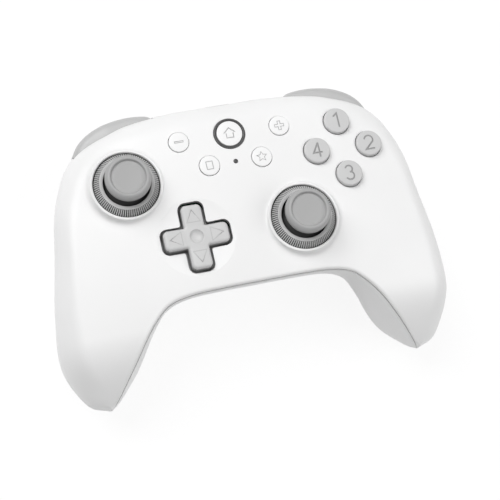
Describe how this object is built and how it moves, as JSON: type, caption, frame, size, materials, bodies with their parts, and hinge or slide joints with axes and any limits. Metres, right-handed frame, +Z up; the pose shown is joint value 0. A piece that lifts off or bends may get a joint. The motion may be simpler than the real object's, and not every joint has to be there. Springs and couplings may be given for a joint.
{
  "type": "game controller",
  "caption": "Handheld wireless game controller in white plastic: two-part casing with grips, thumbsticks, direction pad, face buttons, bumpers and triggers, with its working parts inside",
  "frame": {"origin": "on the resting plane, under the middle of the controller's bounding box", "axes": "+X to the right hand, +Y away from the player towards the bumpers, +Z up out of the face"},
  "size_m": [0.1472, 0.1028, 0.0605],
  "materials": {
    "shell_white": "satin moulded white plastic",
    "bumper_grey": "satin light grey plastic",
    "stick_grey": "matte mid grey plastic",
    "dark_plastic": "dark grey plastic",
    "key_grey": "satin light grey plastic",
    "button_white": "satin white plastic",
    "steel": "plated steel",
    "board_green": "lacquered circuit board",
    "membrane_rubber": "silicone membrane",
    "weight_brass": "turned heavy metal"
  },
  "bodies": {
    "casing": {"front_shell": "shell_white", "rear_shell": "shell_white", "left_trigger_pin": "steel", "right_trigger_pin": "steel", "left_trigger_spring": "steel", "right_trigger_spring": "steel", "left_stick_ring": "stick_grey", "right_stick_ring": "stick_grey", "left_stick_housing": "steel", "right_stick_housing": "steel", "dpad_post": "button_white", "home_ring": "dark_plastic", "status_light": "dark_plastic", "main_board": "board_green", "board_chips": "dark_plastic", "face_membrane": "membrane_rubber", "menu_membrane": "membrane_rubber", "dpad_membrane": "membrane_rubber", "battery": "dark_plastic", "left_motor": "steel", "right_motor": "steel", "usb_socket": "steel", "case_screws": "steel", "board_screws": "steel"},
    "left_bumper": {"left_bumper": "bumper_grey"},
    "left_trigger": {"left_trigger": "bumper_grey"},
    "left_cradle": {"left_stick_cradle": "button_white"},
    "left_pivot": {"left_stick_pivot": "button_white"},
    "left_stick": {"left_stick_cap": "stick_grey", "left_stick_shaft": "dark_plastic"},
    "left_arch": {"left_stick_arch": "dark_plastic"},
    "right_bumper": {"right_bumper": "bumper_grey"},
    "right_trigger": {"right_trigger": "bumper_grey"},
    "right_cradle": {"right_stick_cradle": "button_white"},
    "right_pivot": {"right_stick_pivot": "button_white"},
    "right_stick": {"right_stick_cap": "stick_grey", "right_stick_shaft": "dark_plastic"},
    "right_arch": {"right_stick_arch": "dark_plastic"},
    "gimbal": {"dpad_gimbal": "button_white"},
    "dpad": {"dpad_key": "key_grey"},
    "face_button_top": {"face_button_top": "key_grey"},
    "face_button_right": {"face_button_right": "key_grey"},
    "face_button_bottom": {"face_button_bottom": "key_grey"},
    "face_button_left": {"face_button_left": "key_grey"},
    "minus_button": {"minus_button": "button_white"},
    "plus_button": {"plus_button": "button_white"},
    "profile_button": {"profile_button": "button_white"},
    "star_button": {"star_button": "button_white"},
    "home_button": {"home_button": "button_white"},
    "left_weight": {"left_motor_weight": "weight_brass"},
    "right_weight": {"right_motor_weight": "weight_brass"}
  },
  "joints": [
    {"name": "left_bumper_press", "type": "hinge", "parent": "casing", "child": "left_bumper", "pos_m": [-0.0292, 0.043, 0.039], "axis": [0, 0, 1], "range_deg": [0, 3.5], "stiffness_Nm_per_rad": 2},
    {"name": "left_trigger_pull", "type": "hinge", "parent": "casing", "child": "left_trigger", "pos_m": [-0.042, 0.0374, 0.028], "axis": [-1, 0, 0], "range_deg": [0, 14], "stiffness_Nm_per_rad": 0.4, "springref_deg": -11.46},
    {"name": "left_stick_nod", "type": "hinge", "parent": "casing", "child": "left_cradle", "pos_m": [-0.0402, 0.0218, 0.0435], "axis": [1, 0, 0], "range_deg": [-15, 15], "stiffness_Nm_per_rad": 0.05},
    {"name": "left_stick_lean", "type": "hinge", "parent": "left_cradle", "child": "left_pivot", "pos_m": [-0.0402, 0.0218, 0.0435], "axis": [0, 1, 0], "range_deg": [-15, 15], "stiffness_Nm_per_rad": 0.05},
    {"name": "left_stick_click", "type": "slide", "parent": "left_pivot", "child": "left_stick", "axis": [0, 0, -1], "range_m": [0, 0.0005], "stiffness_N_per_m": 4000, "springref_m": -0.0003},
    {"name": "left_arch_lean", "type": "hinge", "parent": "casing", "child": "left_arch", "pos_m": [-0.0402, 0.0218, 0.0435], "axis": [0, 1, 0], "range_deg": [-15, 15]},
    {"name": "right_bumper_press", "type": "hinge", "parent": "casing", "child": "right_bumper", "pos_m": [0.0292, 0.043, 0.039], "axis": [0, 0, -1], "range_deg": [0, 3.5], "stiffness_Nm_per_rad": 2},
    {"name": "right_trigger_pull", "type": "hinge", "parent": "casing", "child": "right_trigger", "pos_m": [0.042, 0.0374, 0.028], "axis": [-1, 0, 0], "range_deg": [0, 14], "stiffness_Nm_per_rad": 0.4, "springref_deg": -11.46},
    {"name": "right_stick_nod", "type": "hinge", "parent": "casing", "child": "right_cradle", "pos_m": [0.0197, -0.001, 0.0435], "axis": [1, 0, 0], "range_deg": [-15, 15], "stiffness_Nm_per_rad": 0.05},
    {"name": "right_stick_lean", "type": "hinge", "parent": "right_cradle", "child": "right_pivot", "pos_m": [0.0197, -0.001, 0.0435], "axis": [0, 1, 0], "range_deg": [-15, 15], "stiffness_Nm_per_rad": 0.05},
    {"name": "right_stick_click", "type": "slide", "parent": "right_pivot", "child": "right_stick", "axis": [0, 0, -1], "range_m": [0, 0.0005], "stiffness_N_per_m": 4000, "springref_m": -0.0003},
    {"name": "right_arch_lean", "type": "hinge", "parent": "casing", "child": "right_arch", "pos_m": [0.0197, -0.001, 0.0435], "axis": [0, 1, 0], "range_deg": [-15, 15]},
    {"name": "dpad_nod", "type": "hinge", "parent": "casing", "child": "gimbal", "pos_m": [-0.0197, -0.001, 0.042], "axis": [1, 0, 0], "range_deg": [-3.5, 3.5], "stiffness_Nm_per_rad": 1},
    {"name": "dpad_lean", "type": "hinge", "parent": "gimbal", "child": "dpad", "pos_m": [-0.0197, -0.001, 0.042], "axis": [0, 1, 0], "range_deg": [-3.5, 3.5], "stiffness_Nm_per_rad": 1},
    {"name": "face_top_press", "type": "slide", "parent": "casing", "child": "face_button_top", "axis": [0, 0, -1], "range_m": [0, 0.0015], "stiffness_N_per_m": 500, "springref_m": -0.0005},
    {"name": "face_right_press", "type": "slide", "parent": "casing", "child": "face_button_right", "axis": [0, 0, -1], "range_m": [0, 0.0015], "stiffness_N_per_m": 500, "springref_m": -0.0005},
    {"name": "face_bottom_press", "type": "slide", "parent": "casing", "child": "face_button_bottom", "axis": [0, 0, -1], "range_m": [0, 0.0015], "stiffness_N_per_m": 500, "springref_m": -0.0005},
    {"name": "face_left_press", "type": "slide", "parent": "casing", "child": "face_button_left", "axis": [0, 0, -1], "range_m": [0, 0.0015], "stiffness_N_per_m": 500, "springref_m": -0.0005},
    {"name": "minus_press", "type": "slide", "parent": "casing", "child": "minus_button", "axis": [0, 0, -1], "range_m": [0, 0.0008], "stiffness_N_per_m": 800, "springref_m": -0.0004},
    {"name": "plus_press", "type": "slide", "parent": "casing", "child": "plus_button", "axis": [0, 0, -1], "range_m": [0, 0.0008], "stiffness_N_per_m": 800, "springref_m": -0.0004},
    {"name": "profile_press", "type": "slide", "parent": "casing", "child": "profile_button", "axis": [0, 0, -1], "range_m": [0, 0.0008], "stiffness_N_per_m": 800, "springref_m": -0.0004},
    {"name": "star_press", "type": "slide", "parent": "casing", "child": "star_button", "axis": [0, 0, -1], "range_m": [0, 0.0008], "stiffness_N_per_m": 800, "springref_m": -0.0004},
    {"name": "home_press", "type": "slide", "parent": "casing", "child": "home_button", "axis": [0, 0, -1], "range_m": [0, 0.0008], "stiffness_N_per_m": 800, "springref_m": -0.0004},
    {"name": "left_weight_spin", "type": "hinge", "parent": "casing", "child": "left_weight", "pos_m": [-0.057, -0.002, 0.02], "axis": [0, 1, 0], "continuous": true},
    {"name": "right_weight_spin", "type": "hinge", "parent": "casing", "child": "right_weight", "pos_m": [0.057, -0.002, 0.02], "axis": [0, 1, 0], "continuous": true}
  ],
  "couplings": [
    {"joint": "left_arch_lean", "follows": "left_stick_lean", "ratio": 1},
    {"joint": "right_arch_lean", "follows": "right_stick_lean", "ratio": 1}
  ]
}
